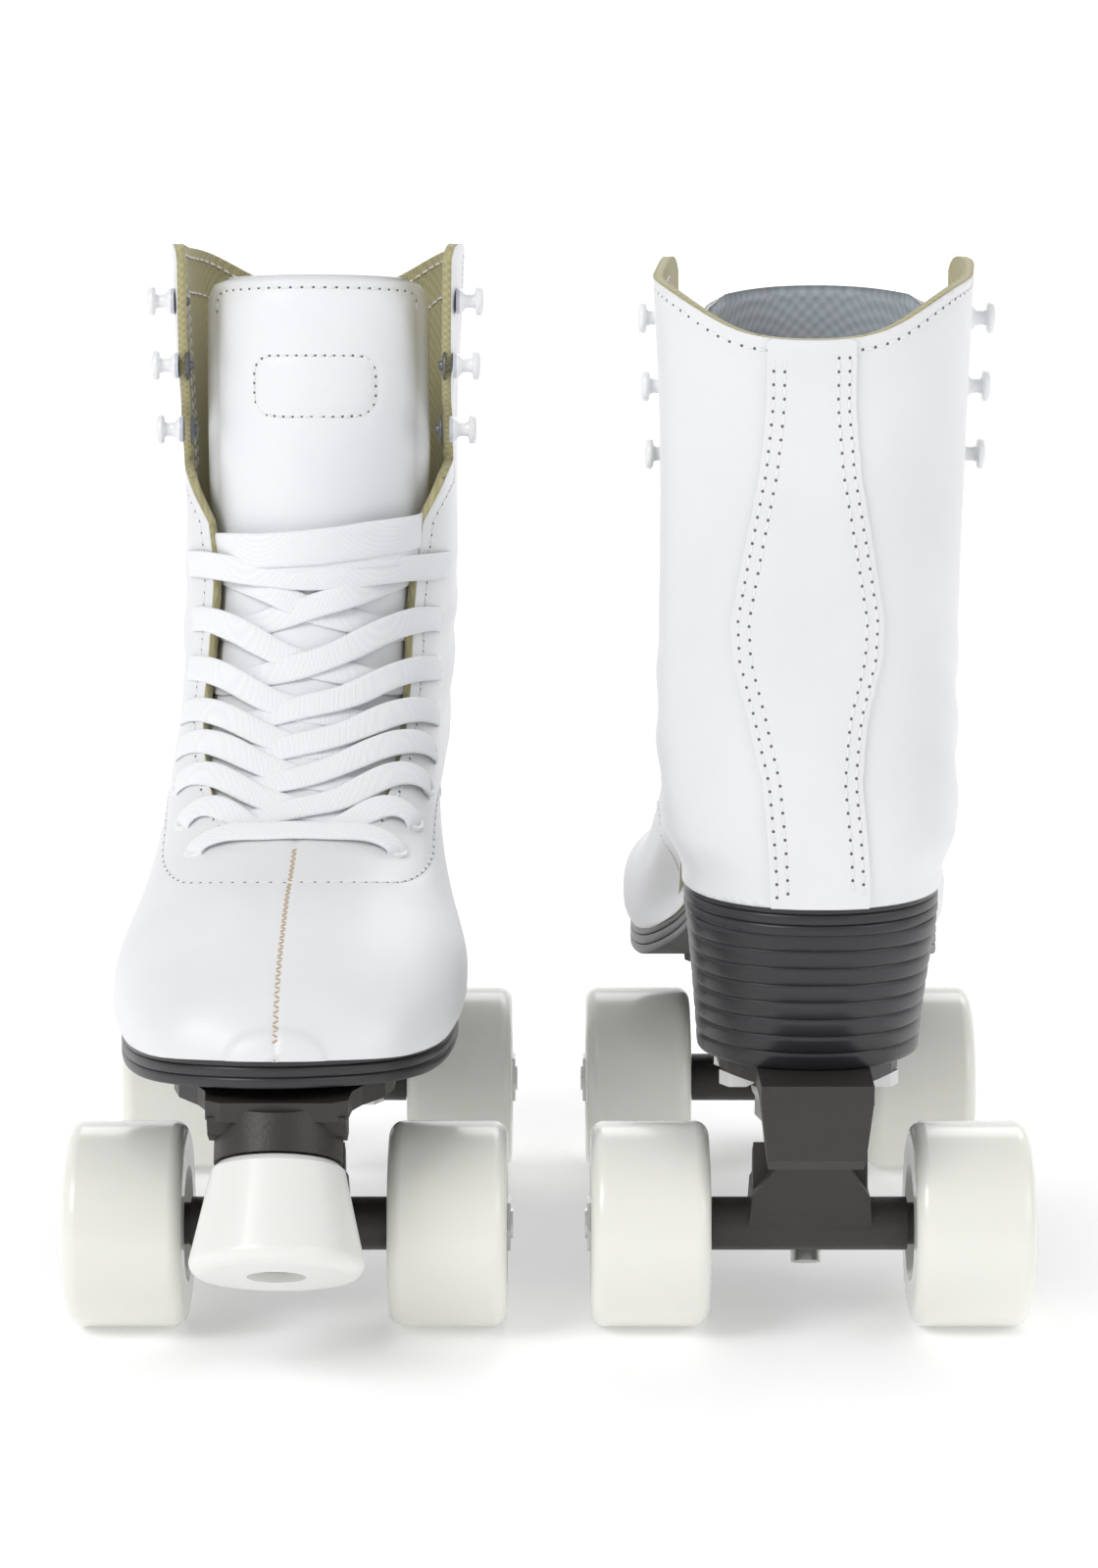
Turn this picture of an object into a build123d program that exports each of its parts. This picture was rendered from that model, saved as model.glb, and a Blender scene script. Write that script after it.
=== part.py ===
# A pair of quad roller skates: lace-up boots on stacked heels, each on a plate with two trucks.
# One skate is drawn with its rear axle at y = 0, its front axle at y = wheelbase and the floor at z = 0.
# The left skate is its mirror image and faces the other way. All dimensions are in millimetres.
import os
from math import cos, radians, sin

from build123d import *

os.makedirs("parts", exist_ok=True)

# where the two skates stand
skate_spacing = 137.0
wheelbase = 160.0

# wheels and bearings
wheel_radius = 27.0
wheel_half = 15.5
wheel_centre = 42.0
axle_height = wheel_radius
bearing_radius = 11.0
bearing_width = 7.0
bearing_gap = 10.0
axle_radius = 3.95
bearing_bore = 4.0

# trucks: the hanger tilts about the line from the kingpin ring to the pivot tip
tube_radius = 7.0
tube_half = 25.6
nose_radius = 5.5
ring_offset = 22.0
ring_height = 38.0
tip_offset = 18.0
tip_height = 55.0
kingpin_radius = 4.0
kingpin_below = 27.0
kingpin_above = 27.0
cushion_radius = 9.5

# plate
plate_top = 72.0
plate_thickness = 5.0
spine_half = 15.0

# toe stop
stop_tilt = 27.0
stop_y = wheelbase + 53.9
stop_z = 28.2
stop_length = 28.5
stop_top_radius = 16.0
stop_bottom_radius = 22.0

# sole and heel
sole_layer = 2.8
sole_layers = 3
heel_band = 4.885
heel_bands = 8
groove_depth = 0.9
groove_height = 0.6

# boot
wall = 3.0
tongue_gap = 3.8
tongue_thickness = 3.6
tongue_half = 30.4
tongue_top = 270.0
eyelet_places = [(27.3, 118.9), (31.5, 124.1), (34.6, 131.3), (35.4, 138.9)]
eyelet_places += [(35.5, 147), (35.3, 157.8), (34.9, 171.3), (34.9, 187)]
hook_heights = [226.0, 244.0, 262.0]
hook_y = 45.0
lace_width = 7.5
lace_thickness = 1.0

# boot sections, toe to top: underside y, z; upper side y, z; half width; how square the lower and upper
# halves are
boot_sections = [
    (210.0, 77, 207.0, 91, 13, 2.4, 2.1),
    (206.0, 75, 200.0, 98, 25, 2.8, 2.1),
    (194.0, 73, 188.0, 104.5, 35, 3.0, 2.15),
    (175.0, 72, 171.0, 110, 42.5, 3.2, 2.15),
    (150.0, 72, 149.0, 115, 46.5, 3.2, 2.15),
    (128.0, 72, 128.0, 119, 46.2, 3.2, 2.15),
    (105.0, 77, 109.0, 129, 43.0, 3.0, 2.15),
    (82.0, 86, 94.0, 143, 40.2, 2.8, 2.15),
    (52.0, 95, 81.0, 160, 38.6, 2.6, 2.15),
    (22.0, 98, 73.5, 174, 38.0, 2.4, 2.15),
    (-5.0, 94, 69.5, 185, 38.0, 2.3, 2.2),
    (-26.0, 97, 66.8, 195, 38.4, 2.2, 2.25),
    (-33.0, 118, 65.0, 204, 38.8, 2.2, 2.35),
    (-31.0, 142, 65.0, 213, 39.0, 2.2, 2.6),
    (-26.5, 170, 67.0, 224, 38.8, 2.2, 3.0),
    (-24.5, 200, 69.5, 237, 39.0, 2.2, 3.5),
    (-25.0, 230, 70.5, 252, 39.8, 2.2, 3.9),
    (-27.0, 262, 71.0, 273, 41.0, 2.2, 4.0),
    (-28.5, 290, 71.0, 293, 41.6, 2.2, 4.0),
]

# the tongue follows the boot up to the ankle and then stands straighter
tongue_sections = boot_sections[3:12] + [
    (-33.0, 118, 64.5, 204, 38.6, 2.2, 2.2),
    (-31.0, 142, 62.8, 213, 38.6, 2.2, 2.2),
    (-26.5, 170, 61.5, 224, 38.6, 2.2, 2.2),
    (-24.5, 200, 60.5, 237, 38.6, 2.2, 2.2),
    (-25.0, 230, 60.0, 252, 38.6, 2.2, 2.2),
    (-27.0, 262, 59.5, 273, 38.6, 2.2, 2.2),
    (-28.5, 290, 59.0, 293, 38.6, 2.2, 2.2),
]

# top line of the sole in side view, heel to toe
sole_line = [
    (-40, 119.5), (-15, 119.5), (5, 119.3), (22, 117.5), (42, 112), (62, 104), (82, 95),
    (102, 87), (120, 82), (138, 80.5), (165, 80.5), (190, 81.8), (215, 85),
]

# outline of the sole seen from above: y, left edge, right edge
sole_edges = [
    (-26, 20, 20), (-14, 29, 29), (4, 33, 33), (26, 32, 32), (50, 29.5, 30), (75, 31, 31.5),
    (100, 37, 38), (122, 42.5, 43.5), (142, 44.5, 44), (162, 43, 42), (182, 38, 36.5), (197, 29, 26), (206, 17, 13),
]


def place_pair(name, shape):
    # one file for each skate: the right one faces +y, the left one is its mirror image and faces -y
    right = Pos(skate_spacing / 2, -wheelbase / 2, 0) * shape
    right.label = "right_" + name
    export_step(right, "parts/right_" + name + ".step")
    left = Pos(-skate_spacing / 2, wheelbase / 2, 0) * mirror(shape, about=Plane.XZ)
    left.label = "left_" + name
    export_step(left, "parts/left_" + name + ".step")


def turned_truck(shape):
    # the front truck is the rear one turned half round, one wheelbase ahead
    return Pos(0, wheelbase, 0) * Rot(0, 0, 180) * shape


def section_outline(inset, row):
    # half of an egg-shaped curve across the boot, from its underside up to its upper side
    low_y, low_z, high_y, high_z, half_width, low_square, high_square = row
    low = Vector(0, low_y, low_z)
    up = (Vector(0, high_y, high_z) - low).normalized()
    height = (Vector(0, high_y, high_z) - low).length
    plane = Plane(origin=low, x_dir=(1, 0, 0), z_dir=Vector(1, 0, 0).cross(up))
    middle = 0.42 * height
    below = middle - inset
    above = height - middle - inset
    points = [(0, inset)]
    for step in range(1, 10):
        turn = radians(18.0 * step - 90.0)
        power = 2.0 / (low_square if step < 5 else high_square)
        across = (half_width - inset) * cos(turn) ** power
        along = abs(sin(turn)) ** power * (-below if step < 5 else above)
        points.append((across, middle + along))
    points.append((0, height - inset))
    return plane, points


def boot_loft(inset, rows=boot_sections):
    # one half (x > 0) of a surface through the sections, moved inward by the inset
    with BuildPart() as body:
        for row in rows:
            plane, points = section_outline(inset, row)
            with BuildSketch(plane):
                with BuildLine():
                    Spline(*points, tangents=[(1, 0), (-1, 0)])
                    Line(points[-1], points[0])
                make_face()
        loft()
    return body.part


def side_block(points, half=70.0, low=None):
    # a closed side-view outline given a width in x
    with BuildPart() as block:
        with BuildSketch(Plane.YZ.offset(-half if low is None else low)):
            with BuildLine():
                Polyline(*points, close=True)
            make_face()
        extrude(amount=2 * half if low is None else half - low)
    return block.part


def front_block(points, back, front):
    # a closed front-view outline (x, z) reaching from y = back to y = front
    with BuildPart() as block:
        with BuildSketch(Plane.XZ.offset(-back)):
            with BuildLine():
                Polyline(*points, close=True)
            make_face()
        extrude(amount=back - front)
    return block.part


def sole_outline_block(inset, bottom, top):
    # the plan of the sole as an upright block
    right = [(edge - inset, y) for y, lefty, edge in sole_edges]
    left = [(inset - lefty, y) for y, lefty, edge in reversed(sole_edges)]
    with BuildPart() as block:
        with BuildSketch(Plane.XY.offset(bottom)):
            with BuildLine():
                Spline((-1, 210 - inset), *left, (0, inset - 33), *right, periodic=True)
            make_face()
        extrude(amount=top - bottom)
    return block.part


def sole_band(down_top, down_bottom, half=60.0):
    # the space between two copies of the sole line, each lowered by an amount
    upper = [(y, z - down_top) for y, z in sole_line]
    lower = [(y, z - down_bottom) for y, z in reversed(sole_line)]
    with BuildPart() as band:
        with BuildSketch(Plane.YZ.offset(-half)):
            with BuildLine():
                Spline(*upper)
                Line(upper[-1], lower[0])
                Spline(*lower)
                Line(lower[-1], upper[0])
            make_face()
        extrude(amount=2 * half)
    return band.part


def heel_slab(height_above_plate, thickness, inset):
    # one D-shaped lift of the heel, smaller towards the plate
    share = height_above_plate / (heel_band * heel_bands)
    half = 28.5 + 4.3 * share - inset
    back = -15.5 - 15.0 * share + inset
    breast = 30.0 + 5.0 * share - inset
    with BuildPart() as slab:
        with BuildSketch(Plane.XY.offset(plate_top + height_above_plate)):
            with BuildLine():
                Spline((half - 1, breast), (half, 8), (half * 0.86, back + 14), (half * 0.5, back + 3.2),
                       (0, back), (-half * 0.5, back + 3.2), (-half * 0.86, back + 14), (-half, 8), (1 - half, breast))
                Spline((1 - half, breast), (0, breast - 5), (half - 1, breast))
            make_face()
        extrude(amount=thickness)
    return slab.part


# ---------------------------------------------------------------- sole and heel
outline = sole_outline_block(0, 60, 130)
thin_outline = sole_outline_block(groove_depth, 60, 130)
sole_depth = sole_layer * sole_layers
outsole = outline & sole_band(0, sole_depth)
for layer in range(1, sole_layers):
    groove = sole_band(sole_layer * layer - groove_height / 2, sole_layer * layer + groove_height / 2)
    outsole = outsole - (groove - thin_outline)
heel = None
for band in range(heel_bands):
    lift = heel_slab(heel_band * band, heel_band - groove_height, 0)
    neck = heel_slab(heel_band * (band + 1) - groove_height, groove_height, groove_depth)
    heel = lift + neck if heel is None else heel + lift + neck
heel = heel - sole_band(-20, sole_depth - 0.5)
heel_filler = side_block([(-22, 100), (-22, 118), (8, 118), (30, 114), (30, 100)], 26) & thin_outline
sole_unit = outsole + heel + (heel_filler - sole_band(-40, 1.0))
sole_unit = sole_unit - side_block([(-60, 40), (260, 40), (260, plate_top), (-60, plate_top)])
place_pair("sole_unit", sole_unit)

# ---------------------------------------------------------------- boot shell, one side of it
outer = boot_loft(0)
shell = outer - boot_loft(wall)
shell = shell - sole_band(0, 60)
# top line: level over the back, rising to a wing each side; in front the shaft is open
top_line = [(-60, 260.3), (-29, 260.5), (-26.5, 261.5), (-23, 264), (-19, 267.5), (-13, 271),
            (-4, 273.5), (8, 275)]
top_line += [(22, 276.5), (36, 277.5), (47, 278), (52, 275.5), (54.5, 268)]
shell = shell - side_block(top_line + [(56, 262), (120, 262), (120, 320), (-60, 320)])
wing_front = [(54.5, 320), (54.5, 262), (55.5, 240), (56.5, 222), (60, 210), (66, 204), (140, 204),
              (140, 320)]
shell = shell - side_block(wing_front)
throat_edge = [(17, 123.5), (21.5, 127), (25, 133), (27.6, 142), (28.6, 160), (29, 187), (30.5, 200),
               (35, 208)]
throat_edge += [(38.6, 216), (38.6, 330)]
throat = throat_edge + [(-10, 330), (-10, 123.5)]
shell = shell - front_block(throat, 30, 121)


def surface_point(across, height):
    # where the front of the boot is at this x and z, and which way it faces there
    spot, normal = outer.find_intersection_points(Axis((max(abs(across), 0.05), 300, height),
                                                       (0, -1, 0)))[0]
    normal = normal if normal.Y > 0 else normal * -1
    side = 1 if across >= 0 else -1
    return Vector(spot.X * side, spot.Y, spot.Z), Vector(normal.X * side, normal.Y, normal.Z)


def peg(spot, normal, radius, low, high):
    # a round bar along a surface normal, from low to high above the surface
    with BuildPart(Plane(origin=spot, z_dir=normal).offset(low)) as bar:
        Cylinder(radius, high - low, align=(Align.CENTER, Align.CENTER, Align.MIN))
    return bar.part


def both_sides(shape):
    return [shape, mirror(shape, about=Plane.YZ)]


eyelet_spots = [surface_point(across, height) for across, height in eyelet_places]
hook_spots = []
for height in hook_heights:
    spot, normal = outer.find_intersection_points(Axis((100, hook_y, height), (-1, 0, 0)))[0]
    hook_spots.append((spot, normal if normal.X > 0 else normal * -1))
for spot, normal in eyelet_spots:
    shell = shell - peg(spot, normal, 3.0, -6, 6)
for spot, normal in hook_spots:
    shell = shell - peg(spot, normal, 1.6, -6, 6)

# back stay: the strip that joins the two sides up the back
strip = [(12.5, 100), (12.5, 150), (15, 166), (18.5, 180), (19, 190), (16, 208), (12.5, 228), (11, 245),
         (11, 300)]
stay_block = front_block(strip + [(-10, 300), (-10, 100)], -60, -5)
stay_half = shell & stay_block
place_pair("backstay", stay_half + mirror(stay_half, about=Plane.YZ))
side = shell - stay_block
place_pair("upper_outer_side", side)
place_pair("upper_inner_side", mirror(side, about=Plane.YZ))

# ---------------------------------------------------------------- tongue and insole
tongue_room = [(150, 108), (126, 106), (104, 114), (88, 128), (74, 144), (62, 162), (51, 184),
               (45, 204), (42, 225), (41, tongue_top),
               (80, tongue_top), (80, 200), (100, 170), (150, 130)]
tongue_face = [(-10, 100), (26, 100), (28.5, 128), (tongue_half, 150), (tongue_half, 264), (28.5, 268),
               (24, tongue_top), (-10, tongue_top)]
tongue = boot_loft(tongue_gap, tongue_sections) - boot_loft(tongue_gap + tongue_thickness, tongue_sections)
tongue = tongue & side_block(tongue_room)
tongue = tongue & front_block(tongue_face, 20, 160)
place_pair("tongue", tongue + mirror(tongue, about=Plane.YZ))

insole = sole_outline_block(6.5, 60, 140) & sole_band(-3.2, -0.2)
insole_room = boot_loft(wall + 0.6)
insole = insole & (insole_room + mirror(insole_room, about=Plane.YZ))
place_pair("insole", insole)

# ---------------------------------------------------------------- eyelets, hooks and lace
eyelets = []
for spot, normal in eyelet_spots:
    ring = peg(spot, normal, 4.3, 0.15, 0.95) + peg(spot, normal, 2.9, -2.9, 0.5)
    ring = ring - peg(spot, normal, 2.2, -6, 6)
    eyelets = eyelets + both_sides(ring)
place_pair("eyelets", Compound(children=eyelets))

hooks = []
for spot, normal in hook_spots:
    hook = peg(spot, normal, 4.3, 0.1, 1.2) + peg(spot, normal, 1.5, -3.6, 6.4) + peg(spot, normal, 4.15,
                                                                                      5.2, 7.6)
    hook = hook + peg(spot, normal, 4.4, -4.6, -3.5)
    hooks = hooks + both_sides(hook)
place_pair("lace_hooks", Compound(children=hooks))


def lace_run(start, end, lift):
    # one flat run of lace arched over the front of the boot, between two places given as (x, z)
    under = []
    over = []
    for share in (0.0, 0.2, 0.5, 0.8, 1.0):
        spot, normal = surface_point(start[0] + share * (end[0] - start[0]),
                                     start[1] + share * (end[1] - start[1]))
        under.append(spot + normal * lift)
        over.append(spot + normal * (lift + lace_thickness))
    along = under[4] - under[0]
    plane = Plane(origin=under[0], x_dir=along, z_dir=along.cross(under[2] - under[0]))
    low = [plane.to_local_coords(point) for point in under]
    high = [plane.to_local_coords(point) for point in reversed(over)]
    with BuildPart() as run:
        with BuildSketch(plane):
            with BuildLine():
                Spline(*[(point.X, point.Y) for point in low])
                Line((low[4].X, low[4].Y), (high[0].X, high[0].Y))
                Spline(*[(point.X, point.Y) for point in high])
                Line((high[4].X, high[4].Y), (low[0].X, low[0].Y))
            make_face()
        extrude(amount=lace_width / 2, both=True)
    return run.part


first_across, first_height = eyelet_places[0]
lace_runs = [lace_run((-first_across, first_height), (first_across, first_height), 4.2)]
for number in range(1, len(eyelet_places)):
    high_across, high_height = eyelet_places[number]
    low_across, low_height = eyelet_places[number - 1]
    lace_runs.append(lace_run((-high_across, high_height), (low_across, low_height), 5.5))
    lace_runs.append(lace_run((-low_across, low_height), (high_across, high_height), 6.8))
place_pair("lace", Compound(children=lace_runs))

# ---------------------------------------------------------------- trucks, drawn at the rear axle
tilt_run = Vector(0, -tip_offset - ring_offset, tip_height - ring_height)
pivot_plane = Plane(origin=(0, -tip_offset, tip_height), x_dir=(1, 0, 0), z_dir=tilt_run)
king_plane = Plane(origin=(0, ring_offset, ring_height), x_dir=(1, 0, 0), z_dir=Vector(1, 0,
                                                                                       0).cross(tilt_run) * -1)


def post(plane, radius, low, high):
    # a round bar on a plane's axis
    with BuildPart(plane.offset(low)) as bar:
        Cylinder(radius, high - low, align=(Align.CENTER, Align.CENTER, Align.MIN))
    return bar.part


def cross_bar(radius, low, high):
    # a round bar along the axle, from x = low to x = high
    return post(Plane(origin=(0, 0, axle_height), x_dir=(0, 1, 0), z_dir=(1, 0, 0)), radius, low, high)


def hex_block(plane, across_flats, low, high):
    with BuildPart() as block:
        with BuildSketch(plane.offset(low)):
            RegularPolygon(across_flats / 2, 6, major_radius=False)
        extrude(amount=high - low)
    return block.part


casting = [(11.9, 39.4), (8.2, 30.9), (6.4, 25), (-5.5, 23.5), (-8, 32), (-14.6, 45.5), (-10.5, 56.5),
           (-4, 52.5), (4, 48)]
casting += [(9, 46.8), (13.5, 44.1)]
casting_front = [(-17, 20), (17, 20), (15.3, 37), (8.8, 47), (8, 58), (-8, 58), (-8.8, 47), (-15.3, 37)]
hanger = side_block(casting, 24) & front_block(casting_front, -40, 40)
hanger = hanger + side_block([(-5.5, 30), (4.5, 30), (3, 46), (-3.5, 50)], 15)
hanger = hanger + cross_bar(tube_radius, -tube_half, tube_half)
hanger = hanger + cross_bar(nose_radius, -tube_half - 4.3, tube_half + 4.3)
hanger = hanger + post(king_plane, 13.0, -2.6, 2.6) + side_block([(12, 38), (10, 42.5), (17, 41.8),
                                                                  (17, 37)], 8)
hanger = hanger + post(pivot_plane, 4.5, -9, 0) + (Pos(0, -tip_offset, tip_height) * Sphere(4.5))
hanger = hanger - post(king_plane, 5.6, -6, 6) - cross_bar(bearing_bore, -40, 40)
hanger = hanger - (post(king_plane, 9.6, -30, -2.6) + post(king_plane, 9.6, 2.6, 30))

axle = cross_bar(axle_radius, -59, 59)
nut_plane = Plane(origin=(0, 0, axle_height), x_dir=(0, 1, 0), z_dir=(1, 0, 0))
nut = hex_block(nut_plane, 13, wheel_centre + 12.15, wheel_centre + 16.4) - cross_bar(axle_radius + 0.02,
                                                                                      50, 70)
axle_nuts = Compound(children=both_sides(nut))

cushion_bore = post(king_plane, kingpin_radius + 0.1, -40, 40)
upper_cushion = post(king_plane, 9.0, 5.6, 11.6) + post(king_plane, 8.2, 4.1, 13.0) - cushion_bore
lower_cushion = post(king_plane, 8.6, -10.5, -5.6) + post(king_plane, 7.6, -12.5, -4.1) - cushion_bore
kingpin = post(king_plane, kingpin_radius, -kingpin_below, kingpin_above)
washers = [post(king_plane, 9.6, 13.0, 14.5) - cushion_bore, post(king_plane, 7.4, -14.0,
                                                                  -12.5) - cushion_bore]
lock_nut = hex_block(king_plane, 12.8, -20.5, -14.05) - post(king_plane, kingpin_radius + 0.02, -40, 40)

cup = post(pivot_plane, 7.0, -3.5, 6.5) - post(pivot_plane, 4.85, -6, 0) - (Pos(0, -tip_offset,
                                                                                tip_height) * Sphere(4.85))

with BuildPart() as wheel_form:
    with BuildSketch(Plane.XY):
        with BuildLine():
            Polyline((-5, 7), (5, 7), (5, bearing_radius + 0.02), (12.6, bearing_radius + 0.02), (13, 13.5))
            Polyline((13, 13.5), (wheel_half, 15.5), (wheel_half, 22.8))
            ThreePointArc((wheel_half, 22.8), (wheel_half - 0.95, 25.7), (wheel_half - 3.6, wheel_radius))
            Line((wheel_half - 3.6, wheel_radius), (3.6 - wheel_half, wheel_radius))
            ThreePointArc((3.6 - wheel_half, wheel_radius), (0.95 - wheel_half, 25.7), (-wheel_half, 22.8))
            Polyline((-wheel_half, 22.8), (-wheel_half, 15.5), (-13, 13.5))
            Polyline((-13, 13.5), (-12.6, bearing_radius + 0.02), (-5, bearing_radius + 0.02), (-5, 7))
        make_face()
    revolve(axis=Axis.X)

with BuildPart() as bearing_form:
    with BuildSketch(Plane.XY):
        with BuildLine():
            Polyline((5, bearing_bore), (12, bearing_bore), (12, 5.9), (11.6, 5.9), (11.6, 9.3),
                     (12, 9.3), (12, bearing_radius),
                     (5, bearing_radius), (5, 9.3), (5.4, 9.3), (5.4, 5.9), (5, 5.9), close=True)
        make_face()
    revolve(axis=Axis.X)
bearing_pair = Compound(children=both_sides(bearing_form.part))

for end in ("rear", "front"):
    at_end = (lambda shape: shape) if end == "rear" else turned_truck
    place_pair(end + "_hanger", at_end(hanger))
    place_pair(end + "_axle", at_end(axle))
    place_pair(end + "_axle_nuts", at_end(axle_nuts))
    along = 0 if end == "rear" else wheelbase
    for word, side_sign in (("outer", 1), ("inner", -1)):
        hub = Pos(side_sign * wheel_centre, along, axle_height)
        place_pair(end + "_" + word + "_wheel", hub * wheel_form.part)
        place_pair(end + "_" + word + "_bearings", hub * bearing_pair)

kingpin_group = [kingpin, lock_nut] + washers
cushion_group = [upper_cushion, lower_cushion]
place_pair("kingpins", Compound(children=kingpin_group + [turned_truck(piece) for piece in kingpin_group]))
place_pair("cushions", Compound(children=cushion_group + [turned_truck(piece) for piece in cushion_group]))
place_pair("pivot_cups", Compound(children=[cup, turned_truck(cup)]))

# ---------------------------------------------------------------- toe stop
lean = radians(stop_tilt)
stop_plane = Plane(origin=(0, stop_y, stop_z), x_dir=(1, 0, 0), z_dir=(0, -sin(lean), cos(lean)))
with BuildPart() as stop_form:
    with BuildSketch(Plane.XZ):
        with BuildLine():
            Polyline((7.5, 0), (18.5, 0))
            ThreePointArc((18.5, 0), (21.4, 1.3), (stop_bottom_radius, 4.5))
            Polyline((stop_bottom_radius, 4.5), (stop_top_radius + 1, stop_length - 1.5),
                     (stop_top_radius - 0.5, stop_length),
                     (5.05, stop_length), (5.05, 6), (7.5, 6), (7.5, 0))
        make_face()
    revolve(axis=Axis.Z)
place_pair("toe_stop", stop_plane.location * stop_form.part)
stop_bolt = post(stop_plane, 5.0, 3, 42.3) + post(stop_plane, 7.3, 2.5, 5.9) - hex_block(stop_plane, 6,
                                                                                         0, 5)
place_pair("toe_stop_bolt", stop_bolt)

# ---------------------------------------------------------------- plate
deck_edge = [(14.4, -32), (14.7, -8), (18, -3), (21.5, 3), (23.5, 10), (24, 30), (21, 38), (17, 46),
             (17, 80), (18, 124)]
deck_edge += [(24, 134), (28.5, 142), (28.5, 174), (26.5, 183), (21, 191), (18.6, 197), (18, 206),
              (14, 209)]
with BuildPart() as deck_form:
    with BuildSketch(Plane.XY.offset(plate_top - plate_thickness)):
        with BuildLine():
            Polyline(*deck_edge, *[(-x, y) for x, y in reversed(deck_edge)], close=True)
        make_face()
    extrude(amount=plate_thickness)
    with BuildSketch(Plane.XY.offset(60)):
        with Locations((0, wheelbase / 2)):
            Rectangle(2 * spine_half, 118)
    extrude(amount=8)
    with BuildSketch(Plane.XY.offset(60)):
        with Locations((0, wheelbase / 2)):
            Rectangle(2 * spine_half - 7, 70)
    extrude(amount=7, mode=Mode.SUBTRACT)
housing = side_block([(-16.8, 49), (-9.1, 67.5), (-32, 67.5), (-30.5, 52), (-27.5, 49)], 20)
housing = housing & front_block([(-12.3, 49), (12.3, 49), (14.4, 68), (-14.4, 68)], -50, 10)
below_deck = side_block([(-60, 0), (260, 0), (260, 70), (-60, 70)])
boss = post(king_plane, 11, 14.55, 45) & below_deck
boss_hole = post(king_plane, kingpin_radius + 0.03, 10, kingpin_above + 0.5)
cup_pocket = post(pivot_plane, 7.03, -8, 6.55)
stop_boss = post(stop_plane, 16.4, stop_length + 0.5, 60) & below_deck
nose = side_block([(192, 68), (208, 68), (206, 63), (200, 60), (192, 60)], 17.5)
plate = deck_form.part + housing + boss + turned_truck(housing) + turned_truck(boss) + stop_boss + nose
plate = plate - cup_pocket - boss_hole - turned_truck(cup_pocket) - turned_truck(boss_hole)
plate = plate - post(stop_plane, 5.03, 20, 42.8) - post(stop_plane, 19, stop_length - 12, stop_length + 0.5)
bolt_spots = [(19, 7), (19.6, 28), (21, 146), (21, 172)]
fasteners = []
for across, along in bolt_spots:
    spot_plane = Plane.XY.move(Location((across, along, 0)))
    for bolt_hole in both_sides(post(spot_plane, 2.53, 60, 80)):
        plate = plate - bolt_hole
    bolt = post(spot_plane, 2.5, 64.5, plate_top - 0.1) + hex_block(spot_plane, 8, 63.2,
                                                                    plate_top - plate_thickness - 0.02)
    fasteners = fasteners + both_sides(bolt)
place_pair("plate", plate)
place_pair("plate_fasteners", Compound(children=fasteners))
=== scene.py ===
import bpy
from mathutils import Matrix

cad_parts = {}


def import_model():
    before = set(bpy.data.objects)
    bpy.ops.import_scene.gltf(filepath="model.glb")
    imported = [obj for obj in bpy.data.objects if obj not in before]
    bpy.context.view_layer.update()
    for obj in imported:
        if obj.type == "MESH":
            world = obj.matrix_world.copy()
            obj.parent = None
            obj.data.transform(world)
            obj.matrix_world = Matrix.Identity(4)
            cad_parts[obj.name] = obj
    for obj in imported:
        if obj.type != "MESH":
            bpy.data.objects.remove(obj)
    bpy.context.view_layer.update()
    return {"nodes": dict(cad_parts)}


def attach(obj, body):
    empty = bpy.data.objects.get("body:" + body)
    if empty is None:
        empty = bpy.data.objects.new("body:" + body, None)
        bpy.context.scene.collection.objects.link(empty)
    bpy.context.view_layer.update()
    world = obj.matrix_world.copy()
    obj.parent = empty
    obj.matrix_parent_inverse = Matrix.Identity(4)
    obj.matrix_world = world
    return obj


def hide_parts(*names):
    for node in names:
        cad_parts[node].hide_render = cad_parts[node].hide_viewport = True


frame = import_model()

import math
import random

import bpy
import numpy as np
from mathutils import Vector, noise

SPACING, BASE = 137.0, 160.0  # mm between the skates' middles, and between the axles
SIDES = ("left", "right")


# ------------------------------------------------------------------ helpers
def world(points, side):
    """Local skate millimetres to the shared frame in metres."""
    p = np.asarray(points, float).reshape(-1, 3).copy()
    if side == "right":
        p += (SPACING / 2, -BASE / 2, 0)
    else:
        p *= (1, -1, 1)
        p += (-SPACING / 2, BASE / 2, 0)
    return p / 1000.0


def build(name, side, verts, faces, mats, body, slot, face_mats=None, smooth=True, sharp=None):
    """A mesh piece made in local millimetres, riding on a body."""
    if side == "left":
        faces = [tuple(reversed(f)) for f in faces]
    mesh = bpy.data.meshes.new(f"{side}_{name}")
    mesh.from_pydata([tuple(v) for v in world(verts, side)], [], [tuple(int(i) for i in f) for f in faces])
    for m in mats:
        mesh.materials.append(m)
    if face_mats is not None:
        mesh.polygons.foreach_set("material_index", np.asarray(face_mats, dtype=np.int32))
    mesh.validate()
    if smooth:
        mesh.shade_smooth()
        if sharp:
            mesh.set_sharp_from_angle(angle=math.radians(sharp))
    ob = bpy.data.objects.new(f"{side}_{name}", mesh)
    bpy.context.scene.collection.objects.link(ob)
    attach(ob, f"{side}_{body}")
    return ob


class Bag:
    """Collects vertices and faces of many small forms into one mesh."""

    def __init__(self):
        self.v, self.f, self.m = [], [], []

    def add(self, verts, faces, mat=0):
        base = len(self.v)
        self.v.extend(tuple(map(float, p)) for p in verts)
        self.f.extend(tuple(i + base for i in f) for f in faces)
        self.m.extend([mat] * len(faces))

    def make(self, name, side, mats, body, slot, **kw):
        return build(name, side, self.v, self.f, mats, body, slot, face_mats=self.m, **kw)


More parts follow.
